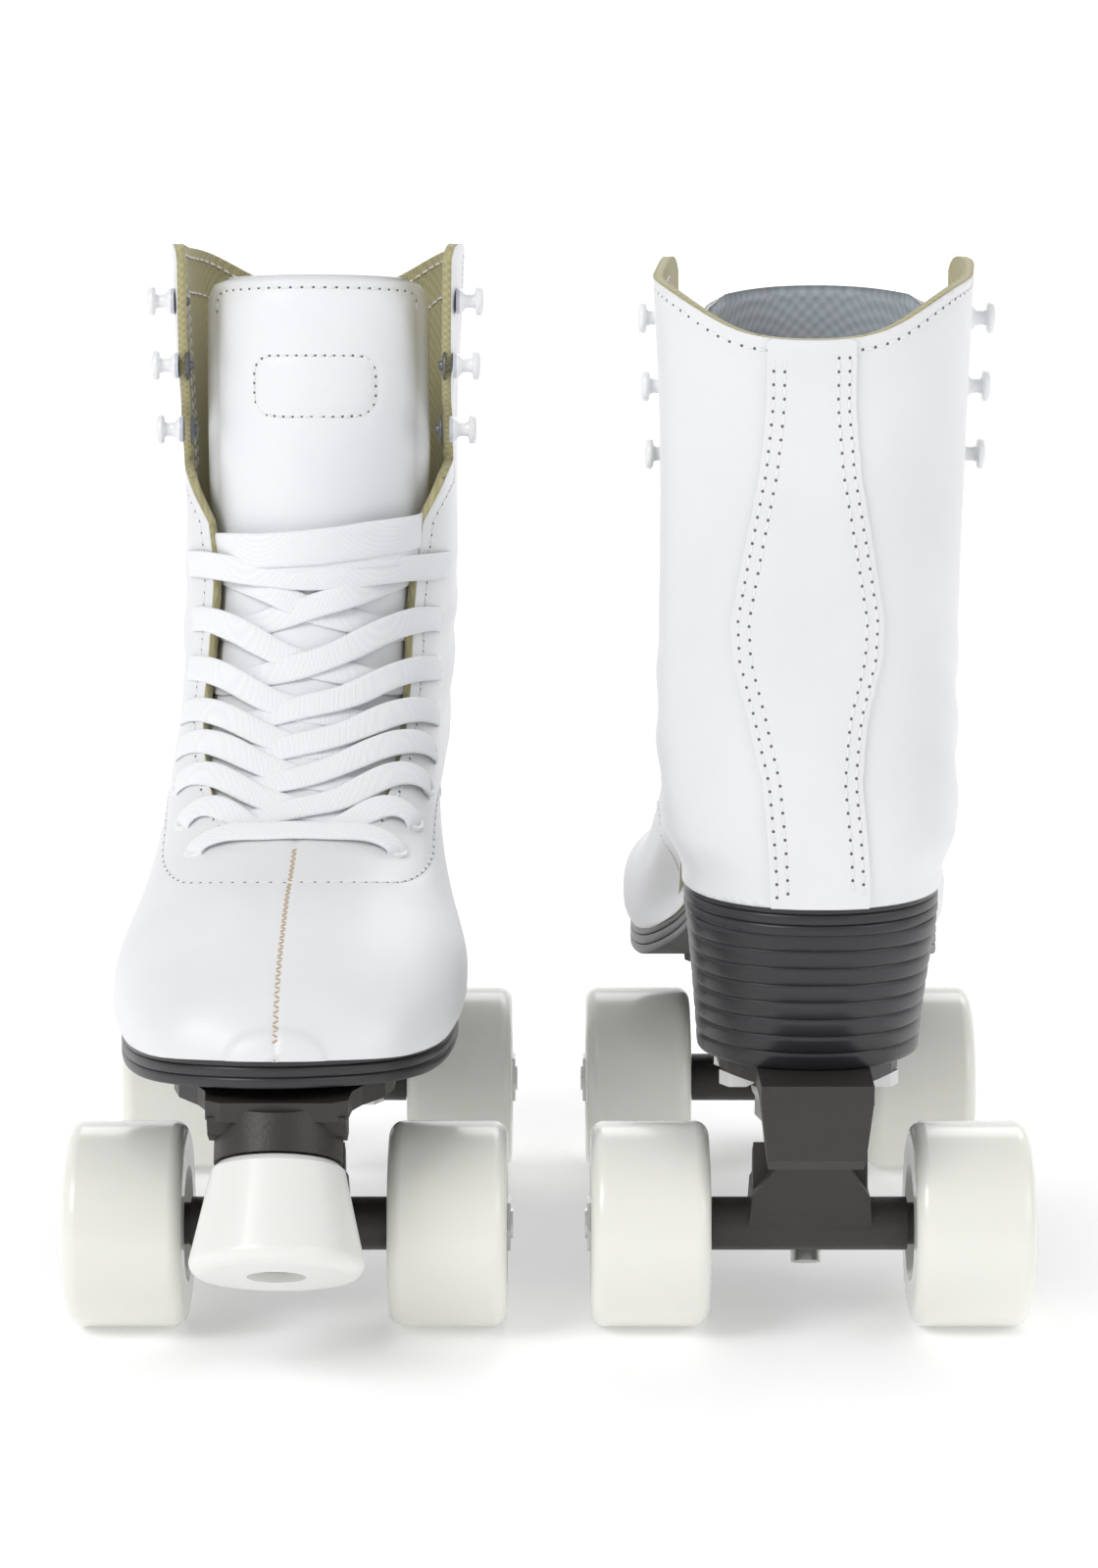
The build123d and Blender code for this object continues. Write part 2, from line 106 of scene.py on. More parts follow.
def cubic(xs, ys):
    """Natural cubic through points, for arrays of values."""
    xs = np.asarray(xs, float)
    ys = np.asarray(ys, float)
    n, h = len(xs), np.diff(xs)
    a = np.eye(n)
    b = np.zeros((n,) + ys.shape[1:])
    for i in range(1, n - 1):
        a[i, i - 1], a[i, i], a[i, i + 1] = h[i - 1], 2 * (h[i - 1] + h[i]), h[i]
        b[i] = 6 * ((ys[i + 1] - ys[i]) / h[i] - (ys[i] - ys[i - 1]) / h[i - 1])
    m = np.linalg.solve(a, b)

    def at(x):
        x = np.clip(np.asarray(x, float), xs[0], xs[-1])
        i = np.clip(np.searchsorted(xs, x, side="right") - 1, 0, n - 2)
        k = h[i]
        s, t = (xs[i + 1] - x) / k, (x - xs[i]) / k
        k, s, t = (v.reshape(v.shape + (1,) * (ys.ndim - 1)) for v in (k, s, t))
        return s * ys[i] + t * ys[i + 1] + ((s**3 - s) * m[i] + (t**3 - t) * m[i + 1]) * k**2 / 6

    return at


def smooth_line(points, count):
    """Evenly spaced points along a soft curve through points."""
    p = np.asarray(points, float)
    d = np.r_[0, np.cumsum(np.linalg.norm(np.diff(p, axis=0), axis=1))]
    fine = cubic(d, p)(np.linspace(0, d[-1], 12 * count))
    return even(fine, count)


def even(line, count):
    d = np.r_[0, np.cumsum(np.linalg.norm(np.diff(line, axis=0), axis=1))]
    want = np.linspace(0, d[-1], count)
    return np.stack([np.interp(want, d, line[:, k]) for k in range(line.shape[1])], 1)


def length_of(line):
    return float(np.linalg.norm(np.diff(line, axis=0), axis=1).sum())


def unit(v):
    v = np.asarray(v, float)
    return v / np.maximum(np.linalg.norm(v, axis=-1, keepdims=True), 1e-9)


def smoothstep(a, b, x):
    t = np.clip((np.asarray(x, float) - a) / (b - a), 0, 1)
    return t * t * (3 - 2 * t)


def lathe(profile, origin, axis, count=48, close=False):
    """Turns (radius, height) pairs about an axis. Returns vertices and faces."""
    axis = unit(axis)
    side = unit(np.cross(axis, (0.31, 0.87, 0.12)))
    other = np.cross(axis, side)
    verts, faces, n = [], [], len(profile)
    for i in range(count):
        a = 2 * math.pi * i / count
        ring = math.cos(a) * side + math.sin(a) * other
        verts += [np.asarray(origin) + r * ring + h * axis for r, h in profile]
    for i in range(count):
        j = (i + 1) % count
        for k in range(n if close else n - 1):
            l = (k + 1) % n
            quad = (i * n + k, j * n + k, j * n + l, i * n + l)
            if profile[k][0] < 1e-6 and profile[l][0] < 1e-6:
                continue
            faces.append(quad)
    return verts, faces


# ------------------------------------------------------------------ materials
def material(name, colour, rough, metal=0.0, spec=0.5, coat=0.0, coat_rough=0.1, sheen=0.0, sss=0.0,
             sss_colour=None):
    mat = bpy.data.materials.new(name)
    mat.use_nodes = True
    nodes, links = mat.node_tree.nodes, mat.node_tree.links
    nodes.clear()
    out = nodes.new("ShaderNodeOutputMaterial")
    bsdf = nodes.new("ShaderNodeBsdfPrincipled")
    links.new(bsdf.outputs[0], out.inputs[0])
    ins = bsdf.inputs
    ins["Base Color"].default_value = (*colour, 1)
    ins["Roughness"].default_value = rough
    ins["Metallic"].default_value = metal
    ins["Specular IOR Level"].default_value = spec
    ins["Coat Weight"].default_value = coat
    ins["Coat Roughness"].default_value = coat_rough
    ins["Sheen Weight"].default_value = sheen
    if sss:
        ins["Subsurface Weight"].default_value = sss
        ins["Subsurface Scale"].default_value = 0.004
        ins["Subsurface Radius"].default_value = sss_colour or (1.0, 0.9, 0.7)
    return mat, nodes, links, bsdf


def coords(nodes, links, scale=(1, 1, 1)):
    tex = nodes.new("ShaderNodeTexCoord")
    mapping = nodes.new("ShaderNodeMapping")
    mapping.inputs["Scale"].default_value = scale
    links.new(tex.outputs["Object"], mapping.inputs[0])
    return mapping.outputs[0]


def noise_node(nodes, links, where, scale, detail=3.0, rough=0.5):
    n = nodes.new("ShaderNodeTexNoise")
    n.inputs["Scale"].default_value = scale
    n.inputs["Detail"].default_value = detail
    n.inputs["Roughness"].default_value = rough
    links.new(where, n.inputs["Vector"])
    return n.outputs[0]


def ramp(nodes, links, value, stops):
    r = nodes.new("ShaderNodeValToRGB")
    while len(r.color_ramp.elements) < len(stops):
        r.color_ramp.elements.new(0.5)
    for el, (pos, col) in zip(r.color_ramp.elements, stops):
        el.position = pos
        el.color = (*col, 1) if len(col) == 3 else col
    links.new(value, r.inputs[0])
    return r.outputs[0]


def bump(nodes, links, bsdf, height, strength, distance=0.0004):
    b = nodes.new("ShaderNodeBump")
    b.inputs["Strength"].default_value = strength
    b.inputs["Distance"].default_value = distance
    links.new(height, b.inputs["Height"])
    links.new(b.outputs[0], bsdf.inputs["Normal"])
    return b


def add(nodes, links, a, b, wa=1.0, wb=1.0):
    m = nodes.new("ShaderNodeMath")
    m.operation = "MULTIPLY_ADD"
    links.new(a, m.inputs[0])
    m.inputs[1].default_value = wa
    k = nodes.new("ShaderNodeMath")
    k.operation = "MULTIPLY"
    links.new(b, k.inputs[0])
    k.inputs[1].default_value = wb
    links.new(k.outputs[0], m.inputs[2])
    return m.outputs[0]


def grained(name, low, high, rough, scale=900, strength=0.25, distance=0.0003, patch=14, rough_span=0.08,
            **kw):
    """Colour drifting between two shades, with fine grain in the bump and the roughness."""
    mat, nodes, links, bsdf = material(name, low, rough, **kw)
    where = coords(nodes, links)
    broad = noise_node(nodes, links, where, patch, 4)
    fine = noise_node(nodes, links, where, scale, 2)
    links.new(ramp(nodes, links, broad, [(0.3, low), (0.7, high)]), bsdf.inputs["Base Color"])
    span = nodes.new("ShaderNodeMapRange")
    span.inputs["To Min"].default_value = rough - rough_span
    span.inputs["To Max"].default_value = rough + rough_span
    links.new(noise_node(nodes, links, where, patch * 5, 3), span.inputs[0])
    links.new(span.outputs[0], bsdf.inputs["Roughness"])
    bump(nodes, links, bsdf, fine, strength, distance)
    return mat


def leather(name, low, high, rough=0.42):
    """Coated white leatherette: tiny pebbles, shallow creases and a soft sheen."""
    mat, nodes, links, bsdf = material(name, low, rough, coat=0.12, coat_rough=0.28)
    where = coords(nodes, links)
    cells = nodes.new("ShaderNodeTexVoronoi")
    cells.feature = "SMOOTH_F1"
    cells.inputs["Scale"].default_value = 1500
    links.new(where, cells.inputs["Vector"])
    soft = noise_node(nodes, links, where, 60, 4)
    links.new(ramp(nodes, links, noise_node(nodes, links, where, 18, 4), [(0.3, low), (0.7, high)]),
              bsdf.inputs["Base Color"])
    bump(nodes, links, bsdf, add(nodes, links, cells.outputs["Distance"], soft, 0.35, 1.2), 0.35, 0.0003)
    return mat


def woven(name, low, high, pitch, rough=0.85, strength=0.5):
    """Tight weave from two crossing waves."""
    mat, nodes, links, bsdf = material(name, low, rough, sheen=0.25)
    where = coords(nodes, links)
    waves = []
    for turn in ((1, 0, 1), (0, 1, -1)):
        w = nodes.new("ShaderNodeTexWave")
        w.inputs["Scale"].default_value = 1000 / pitch / 6.28
        w.inputs["Distortion"].default_value = 0.6
        m = nodes.new("ShaderNodeMapping")
        m.inputs["Rotation"].default_value = (0, math.radians(45 * turn[2]), math.radians(45 * turn[2]))
        links.new(where, m.inputs[0])
        links.new(m.outputs[0], w.inputs[0])
        waves.append(w.outputs["Fac"])
    mix = add(nodes, links, waves[0], waves[1], 0.5, 0.5)
    links.new(ramp(nodes, links, mix, [(0.2, low), (0.8, high)]), bsdf.inputs["Base Color"])
    bump(nodes, links, bsdf, mix, strength, 0.00025)
    return mat


M = {
    "boot": leather("boot_leather_look", (0.735, 0.74, 0.755), (0.79, 0.795, 0.81)),
    "tongue": leather("tongue_leather_look", (0.80, 0.81, 0.835), (0.85, 0.86, 0.88), 0.45),
    "lining": woven("lining_cloth", (0.36, 0.33, 0.17), (0.46, 0.42, 0.23), 0.7),
    "felt": woven("tongue_felt", (0.36, 0.41, 0.47), (0.46, 0.5, 0.56), 0.9),
    "insole": woven("insole_cloth", (0.36, 0.33, 0.18), (0.45, 0.41, 0.24), 0.8),
    "thread": grained("white_thread", (0.78, 0.78, 0.79), (0.86, 0.86, 0.87), 0.7, 2500, 0.4, 0.0001),
    "tan": grained("tan_thread", (0.42, 0.30, 0.17), (0.55, 0.42, 0.27), 0.75, 2500, 0.4, 0.0001),
    # needle holes: small dark discs of painted shade standing in for the depth of each hole
    "painted_hole_shade": grained("needle_hole_painted_shade", (0.10, 0.10, 0.11), (0.16, 0.16, 0.17), 0.9, 2000, 0.2, 0.0001),
    "lace": woven("lace_weave", (0.83, 0.84, 0.87), (0.88, 0.89, 0.91), 0.3, 0.9, 0.35),
    "enamel": grained("white_enamel_look", (0.80, 0.81, 0.83), (0.86, 0.87, 0.88), 0.25, 500, 0.08, 0.0001,
                      coat=0.3),
    "hooksteel": grained("grey_enamel", (0.50, 0.52, 0.58), (0.60, 0.62, 0.68), 0.3, 500, 0.08, 0.0001),
    "rivet": grained("dark_rivet", (0.10, 0.105, 0.12), (0.18, 0.185, 0.2), 0.35, 700, 0.2, 0.0001,
                     metal=0.6),
    "sole": grained("black_sole", (0.020, 0.020, 0.023), (0.031, 0.031, 0.035), 0.36, 700, 0.2, 0.0002,
                    rough_span=0.04),
    "plate": grained("black_plate", (0.022, 0.020, 0.019), (0.036, 0.032, 0.030), 0.46, 900, 0.4, 0.0003),
    "zinc": grained("zinc_look", (0.52, 0.52, 0.53), (0.66, 0.65, 0.64), 0.3, 900, 0.15, 0.0002, metal=1.0),
    "steel": grained("bearing_look", (0.45, 0.45, 0.46), (0.6, 0.6, 0.6), 0.28, 900, 0.1, 0.0002, metal=1.0),
    "wheel": grained("wheel_urethane_look", (0.80, 0.80, 0.745), (0.84, 0.84, 0.79), 0.24, 250, 0.06,
                     0.0002, coat=0.3, sss=0.3, rough_span=0.04),
    "stop": grained("stop_rubber_look", (0.80, 0.80, 0.77), (0.86, 0.86, 0.84), 0.32, 300, 0.12, 0.0003,
                    coat=0.2, sss=0.25),
    "cushion": grained("cushion_urethane_look", (0.68, 0.68, 0.62), (0.78, 0.78, 0.72), 0.35, 300, 0.1,
                       0.0002, sss=0.3),
    "cup": grained("cup_nylon", (0.03, 0.03, 0.03), (0.05, 0.05, 0.05), 0.5, 700, 0.2, 0.0002),
}


# ------------------------------------------------------------------ camera, floor and light
scene = bpy.context.scene
lens = bpy.data.cameras.new("camera")
lens.lens = 98.2
lens.sensor_width = 36.0
lens.sensor_fit = "AUTO"
lens.clip_start, lens.clip_end = 0.05, 50
cam = bpy.data.objects.new("camera", lens)
cam.location = (0.0, -1.171, 0.337)
cam.rotation_euler = (math.radians(80.0), 0, 0)
scene.collection.objects.link(cam)
scene.camera = cam

floor_mat, fn, fl, fb = material("pale_floor", (0.93, 0.93, 0.935), 0.7, spec=0.15)
fl.new(ramp(fn, fl, noise_node(fn, fl, coords(fn, fl), 3, 2),
            [(0.3, (0.92, 0.92, 0.925)), (0.7, (0.94, 0.94, 0.945))]), fb.inputs["Base Color"])
fb.inputs["Emission Color"].default_value = (1, 1, 1, 1)
fb.inputs["Emission Strength"].default_value = 0.22
profile = [(-3.0, 0.0), (0.0, 0.0),
           (0.9, 0.0)] + [(0.9 + 1.2 * math.sin(a), 1.2 - 1.2 * math.cos(a))
                          for a in np.linspace(0.1, math.pi / 2, 14)] + [(2.1, 3.2)]
floor_mesh = bpy.data.meshes.new("floor")
floor_points = [(x, y, z) for y, z in profile for x in (-4, 4)]
floor_mesh.from_pydata(floor_points, [], [(2 * i, 2 * i + 1, 2 * i + 3, 2 * i + 2)
                                          for i in range(len(profile) - 1)])
floor_mesh.materials.append(floor_mat)
floor_mesh.shade_smooth()
floor = bpy.data.objects.new("floor", floor_mesh)
floor.location.z = -0.0003
scene.collection.objects.link(floor)

sky = bpy.data.worlds.new("studio")
scene.world = sky
sky.use_nodes = True
sky.node_tree.nodes["Background"].inputs[0].default_value = (1, 1, 1, 1)
sky.node_tree.nodes["Background"].inputs[1].default_value = 0.62


def lamp(name, where, look, size, power):
    data = bpy.data.lights.new(name, "AREA")
    data.shape = "RECTANGLE"
    data.size, data.size_y, data.energy = size[0], size[1], power
    ob = bpy.data.objects.new(name, data)
    ob.location = where
    ob.rotation_euler = (Vector(look) - Vector(where)).to_track_quat("-Z", "Y").to_euler()
    scene.collection.objects.link(ob)


lamp("key", (-1.3, -1.3, 1.5), (0, 0, 0.12), (1.0, 1.0), 18)
lamp("fill", (1.6, -1.0, 0.9), (0, 0, 0.12), (1.2, 1.0), 6)
lamp("back", (0.3, 1.6, 1.4), (0, 0, 0.15), (1.6, 0.8), 8)
scene.view_settings.view_transform = "Standard"
scene.view_settings.exposure = 0.0

# ------------------------------------------------------------------ CAD nodes that stay, with their looks
LOOK = {"hanger": "plate", "axle": "zinc", "axle_nuts": "zinc", "plate": "plate", "plate_fasteners": "zinc",
        "kingpins": "zinc",
        "toe_stop_bolt": "zinc", "cushions": "cushion", "pivot_cups": "cup", "insole": "insole",
        "bearings": "steel", "wheel": "wheel",
        "toe_stop": "stop", "sole_unit": "sole", "eyelets": "enamel", "lace_hooks": "enamel", "lace": "lace",
        "tongue": "tongue",
        "upper_outer_side": "boot", "upper_inner_side": "boot", "backstay": "boot"}
for node_name, node in frame["nodes"].items():
    for ending in sorted(LOOK, key=len, reverse=True):
        if node_name.endswith(ending):
            for holder in node.material_slots:
                holder.material = M[LOOK[ending]]
            break

# ------------------------------------------------------------------ the boot's surface
# underside y, z; upper side y, z; half width; squareness of the lower and upper halves (millimetres)
SECTIONS = np.array([
    (210.0, 77, 207.0, 91, 13, 2.4, 2.1), (206.0, 75, 200.0, 98, 25, 2.8, 2.1), (194.0, 73, 188.0, 104.5,
            35, 3.0, 2.15),
    (175.0, 72, 171.0, 110, 42.5, 3.2, 2.15), (150.0, 72, 149.0, 115, 46.5, 3.2, 2.15), (128.0, 72, 128.0,
            119, 46.2, 3.2, 2.15),
    (105.0, 77, 109.0, 129, 43.0, 3.0, 2.15), (82.0, 86, 94.0, 143, 40.2, 2.8, 2.15), (52.0, 95, 81.0, 160,
            38.6, 2.6, 2.15),
    (22.0, 98, 73.5, 174, 38.0, 2.4, 2.15), (-5.0, 94, 69.5, 185, 38.0, 2.3, 2.2), (-26.0, 97, 66.8, 195,
            38.4, 2.2, 2.25),
    (-33.0, 118, 65.0, 204, 38.8, 2.2, 2.35), (-31.0, 142, 65.0, 213, 39.0, 2.2, 2.6), (-26.5, 170, 67.0,
            224, 38.8, 2.2, 3.0),
    (-24.5, 200, 69.5, 237, 39.0, 2.2, 3.5), (-25.0, 230, 70.5, 252, 39.8, 2.2, 3.9), (-27.0, 262, 71.0,
            273, 41.0, 2.2, 4.0),
    (-28.5, 290, 71.0, 293, 41.6, 2.2, 4.0)])
TONGUE_ROWS = np.vstack([SECTIONS[3:12], [
    (-33.0, 118, 64.5, 204, 38.6, 2.2, 2.2), (-31.0, 142, 62.8, 213, 38.6, 2.2, 2.2), (-26.5, 170, 61.5,
            224, 38.6, 2.2, 2.2),
    (-24.5, 200, 60.5, 237, 38.6, 2.2, 2.2), (-25.0, 230, 60.0, 252, 38.6, 2.2, 2.2), (-27.0, 262, 59.5,
            273, 38.6, 2.2, 2.2),
    (-28.5, 290, 59.0, 293, 38.6, 2.2, 2.2)]])
SOLE_LINE = np.array([(-40, 119.5), (-15, 119.5), (5, 119.3), (22, 117.5), (42, 112), (62, 104), (82, 95),
                      (102, 87), (120, 82),
                      (138, 80.5), (165, 80.5), (190, 81.8), (215, 85)], float)
TOP_LINE = smooth_line([(-60, 260.3), (-40, 260.3), (-29, 260.5), (-26, 261.7), (-22, 264.8), (-18, 268),
                        (-12, 271.3), (-4, 273.6), (8, 275), (22, 276.5), (36, 277.5), (47, 278)], 120)
FACING = smooth_line([(17, 123.5), (21.5, 127), (25, 133), (27.6, 142), (28.6, 160), (29, 187),
                      (30.5, 200)], 60)
EYELETS = [(27.3, 118.9), (31.5, 124.1), (34.6, 131.3), (35.4, 138.9), (35.5, 147), (35.3, 157.8),
           (34.9, 171.3), (34.9, 187)]
sole_at = cubic(SOLE_LINE[:, 0], SOLE_LINE[:, 1])
# the sole's plan: y, half width on the left, half width on the right
SOLE_EDGES = [(-26, 20, 20), (-14, 29, 29), (4, 33, 33), (26, 32, 32), (50, 29.5, 30), (75, 31, 31.5),
              (100, 37, 38),
              (122, 42.5, 43.5), (142, 44.5, 44), (162, 43, 42), (182, 38, 36.5), (197, 29, 26), (206, 17,
                      13)]


def sole_plan(count):
    """The sole's outline from the toe tip round by the left, with its outward directions. Count is even."""
    ring = [(-1, 210)] + [(-a, y) for y, a, b in reversed(SOLE_EDGES)] + [(0, -33)] + [(b, y) for y, a,
            b in SOLE_EDGES]
    line = smooth_line(ring[-3:] + ring + ring[:4], 1500)
    from_tip = np.hypot(*(line - ring[0]).T)
    first, last = np.argmin(from_tip[:750]), 750 + np.argmin(from_tip[750:])
    line = even(line[first : last + 1], count + 1)[:-1]
    along = unit(np.roll(line, -1, 0) - np.roll(line, 1, 0))
    return line, np.stack([along[:, 1], -along[:, 0]], 1)


def tuck(points):
    """Draws the boot's lower edge in to the sole's outline."""
    p = np.array(points, float)
    flat = p.reshape(-1, 3)
    plan, outward = sole_plan(480)
    rise = flat[:, 2] - sole_at(flat[:, 1])
    for low in np.array_split(np.flatnonzero(rise < 14), 12):
        near = np.argmin(((flat[low, None, :2] - plan[None]) ** 2).sum(2), 1)
        gap = ((flat[low, :2] - plan[near]) * outward[near]).sum(1)
        move = np.maximum(gap - 0.5, 0) * smoothstep(14, 1, rise[low]) * smoothstep(135, 95, flat[low, 1])
        flat[low, :2] -= outward[near] * move[:, None]
    return flat.reshape(p.shape)


def add_rings(bag, rings, across):
    """A closed form of stacked rings. Across pairs the points of one ring, for its two caps."""
    n = len(rings[0])
    verts = np.vstack(rings)
    faces = [(r * n + i, r * n + (i + 1) % n, (r + 1) * n + (i + 1) % n, (r + 1) * n + i)
             for r in range(len(rings) - 1) for i in range(n)]
    for base, turn in ((0, -1), ((len(rings) - 1) * n, 1)):
        for (a, b), (c, d) in zip(across[:-1], across[1:]):
            ring = list(dict.fromkeys((base + a, base + c, base + d, base + b)))
            faces.append(tuple(ring[::turn]))
    bag.add(verts, faces)


EDGE_PROFILE = ((0.5, 0.0), (0.14, 0.1), (0.0, 0.26), (0.0, 0.74), (0.14, 0.9),
                (0.5, 1.0))  # inset, share of the height


def sole_form():
    """Three sole layers and eight heel bands, each with its edges rounded."""
    bag = Bag()
    count = 320
    plan, outward = sole_plan(count)
    pairs = [(i, (count - i) % count) for i in range(count // 2 + 1)]
    for layer in range(3):
        rings = []
        for inset, share in reversed(EDGE_PROFILE):
            edge = plan - outward * inset
            rings.append(np.column_stack([edge, sole_at(edge[:, 1]) - 2.8 * (layer + share)]))
        add_rings(bag, rings, pairs)
    band = 4.885
    for number in range(8):
        rings = []
        for inset, share in EDGE_PROFILE:
            up = (number + share) / 8
            half, back, breast = 28.5 + 4.3 * up - inset, -15.5 - 15 * up + inset, 30 + 5 * up - inset
            curve = smooth_line([(half - 1, breast), (half, 8), (half * 0.86, back + 14),
                                 (half * 0.5, back + 3.2), (0, back),
                                 (-half * 0.5, back + 3.2), (-half * 0.86, back + 14), (-half,
                                         8), (1 - half, breast)], 121)
            front = smooth_line([(1 - half, breast), (0, breast - 5), (half - 1, breast)], 25)[1:-1]
            ring = np.vstack([curve, front])[::-1]
            z = np.minimum(72 + 8 * band * up, sole_at(ring[:, 1]) - 8.3)
            rings.append(np.column_stack([ring, z]))
        n = len(rings[0])
        middle = (n - 23 - 121) + 23 + 60
        add_rings(bag, rings, [((middle + i) % n, (middle - i) % n) for i in range(n // 2 + 1)])
    return bag


def row_curve(rows):
    mid = rows[:, :4].reshape(-1, 2, 2).mean(1)
    span = np.r_[0, np.cumsum(np.linalg.norm(np.diff(mid, axis=0), axis=1) + 4)]
    return span, cubic(span, rows)


ROWS_FINE = row_curve(SECTIONS)[1](np.linspace(0, row_curve(SECTIONS)[0][-1], 900))


def front_profile(across, inset=0.0, rows=None):
    """The boot's upper side at this x, for every row from the toe to the top."""
    ly, lz, hy, hz, half, _, square = (ROWS_FINE if rows is None else rows).T
    height = np.hypot(hy - ly, hz - lz)
    middle = 0.42 * height
    share = np.minimum(abs(across) / (half - inset), 1)
    along = middle + (height - middle - inset) * (1 - share**square) ** (1 / square)
    return np.stack([np.full(len(ly), float(across)), ly + (hy - ly) / height * along,
                     lz + (hz - lz) / height * along], 1)


def depth_at(across, height, inset=0.0):
    line = front_profile(across, inset)
    return float(np.interp(height, line[:, 2], line[:, 1]))


def spot(across, height, lift=0.0, inset=0.0):
    """A place on the front of the boot, given as seen from the front, and its outward direction."""
    y = depth_at(across, height, inset)
    slope_x = (depth_at(across + 0.4, height, inset) - depth_at(across - 0.4, height, inset)) / 0.8
    slope_z = (depth_at(across, height + 0.8, inset) - depth_at(across, height - 0.8, inset)) / 1.6
    normal = unit((-slope_x, 1.0, -slope_z))
    return np.array((across, y, height)) + normal * lift, normal


def lean(points, side):
    """The boots don't stand quite over their plates: a few millimetres sideways, different on each skate."""
    p = np.array(points, float)
    y, z = p[..., 1].copy(), p[..., 2].copy()
    if side == "left":
        p[..., 0] += 3.0 * smoothstep(105, 205, z)
    else:
        p[..., 0] += (-3.2 + 5.4 * smoothstep(-20, 45, y)) * smoothstep(119, 170, z)
    return p


def half_section(row, inset, count):
    ly, lz, hy, hz, half, low, high = row
    height = math.hypot(hy - ly, hz - lz)
    middle = 0.42 * height
    turn = np.linspace(-math.pi / 2, math.pi / 2, 181)
    power = np.where(turn < 0, 2 / low, 2 / high)
    across = (half - inset) * np.abs(np.cos(turn)) ** power
    across[0] = across[-1] = 0
    along = middle + np.sign(turn) * np.abs(np.sin(turn)) ** power * np.where(turn < 0, middle - inset,
            height - middle - inset)
    flat = even(np.stack([across, along], 1), count)
    return np.stack([flat[:, 0], ly + (hy - ly) / height * flat[:, 1],
                     lz + (hz - lz) / height * flat[:, 1]], 1)


def shell_grid(rows, inset, across_count, along_count):
    """Points of the whole surface. Rows run toe to top, columns from the underside round."""
    span, at = row_curve(rows)
    grid = []
    for u in np.linspace(0, span[-1], along_count):
        half = half_section(at(u), inset, across_count)
        grid.append(np.vstack([half, (half * (-1, 1, 1))[-2:0:-1]]))
    middle = grid[0].mean(0)
    nose = [middle + (grid[0] - middle) * math.cos(a) + np.array((0, 3.2, 0)) * math.sin(a)
            for a in np.radians((89, 75, 58, 40, 20))]
    return np.array(nose + grid)


def grid_normals(grid):
    du = np.gradient(grid, axis=0)
    dv = np.roll(grid, -1, 1) - np.roll(grid, 1, 1)
    n = unit(np.cross(dv, du))
    return n


def line_gap(a, b, line):
    """Signed distance of points (a, b) to a 2-D line, positive on its left."""
    best = np.full(a.shape, 1e9)
    sign = np.ones(a.shape)
    for p, q in zip(line[:-1], line[1:]):
        dx, dy = q - p
        size = dx * dx + dy * dy
        t = np.clip(((a - p[0]) * dx + (b - p[1]) * dy) / size, 0, 1)
        ga, gb = a - p[0] - t * dx, b - p[1] - t * dy
        gap = np.hypot(ga, gb)
        near = gap < best
        best = np.where(near, gap, best)
        sign = np.where(near, np.sign(dx * (b - p[1]) - dy * (a - p[0])), sign)
    return best * np.where(sign == 0, 1, sign)


def clip_grid(points, faces, value):
    """Keeps the part of a mesh where value < 0, cutting faces along value = 0."""
    points, value = list(map(tuple, points)), list(value)
    cut, kept = {}, []

    def crossing(i, j):
        key = (min(i, j), max(i, j))
        if key not in cut:
            t = value[i] / (value[i] - value[j])
            cut[key] = len(points)
            points.append(tuple(p + t * (q - p) for p, q in zip(points[i], points[j])))
            value.append(0.0)
        return cut[key]

    for face in faces:
        inside = [value[i] < 0 for i in face]
        if all(inside):
            kept.append(face)
            continue
        if not any(inside):
            continue
        out = []
        for k, i in enumerate(face):
            j = face[(k + 1) % len(face)]
            if value[i] < 0:
                out.append(i)
            if (value[i] < 0) != (value[j] < 0):
                out.append(crossing(i, j))
        if len(out) >= 3:
            kept.append(tuple(out))
    used = sorted({i for f in kept for i in f})
    back = {i: n for n, i in enumerate(used)}
    return [points[i] for i in used], [tuple(back[i] for i in f) for f in kept]


def isolines(grid, normals, value, wrap=True, keep=None):
    """Curves on the grid where value = 0, each as (points, normals)."""
    n, m = value.shape
    segments, places = {}, {}
    for i in range(n - 1):
        row = value[i : i + 2]
        if row.min() > 0 or row.max() < 0:
            continue
        for j in range(m if wrap else m - 1):
            k = (j + 1) % m
            ring = ((i, j), (i, k), (i + 1, k), (i + 1, j))
            v = [value[a] for a in ring]
            if (v[0] > 0) == (v[1] > 0) == (v[2] > 0) == (v[3] > 0):
                continue
            hits = []
            for q in range(4):
                a, b = ring[q], ring[(q + 1) % 4]
                if (value[a] > 0) != (value[b] > 0):
                    key = (min(a, b), max(a, b))
                    t = value[key[0]] / (value[key[0]] - value[key[1]])
                    places[key] = (grid[key[0]] * (1 - t) + grid[key[1]] * t,
                                   unit(normals[key[0]] * (1 - t) + normals[key[1]] * t))
                    hits.append(key)
            for a, b in zip(hits[::2], hits[1::2]):
                segments.setdefault(a, []).append(b)
                segments.setdefault(b, []).append(a)
    lines, seen = [], set()
    for start in sorted(segments, key=lambda s: len(segments[s])):
        if start in seen:
            continue
        chain = [start]
        seen.add(start)
        while True:
            nxt = [b for b in segments[chain[-1]] if b not in seen]
            if not nxt:
                break
            chain.append(nxt[0])
            seen.add(nxt[0])
        if len(chain) > 3:
            p = np.array([places[c][0] for c in chain])
            q = np.array([places[c][1] for c in chain])
            good = keep(p) if keep else np.ones(len(p), bool)
            cuts = np.flatnonzero(np.diff(np.r_[0, good.astype(int), 0]))
            for a, b in zip(cuts[::2], cuts[1::2]):
                if b - a > 3:
                    lines.append((p[a:b], q[a:b]))
    return lines


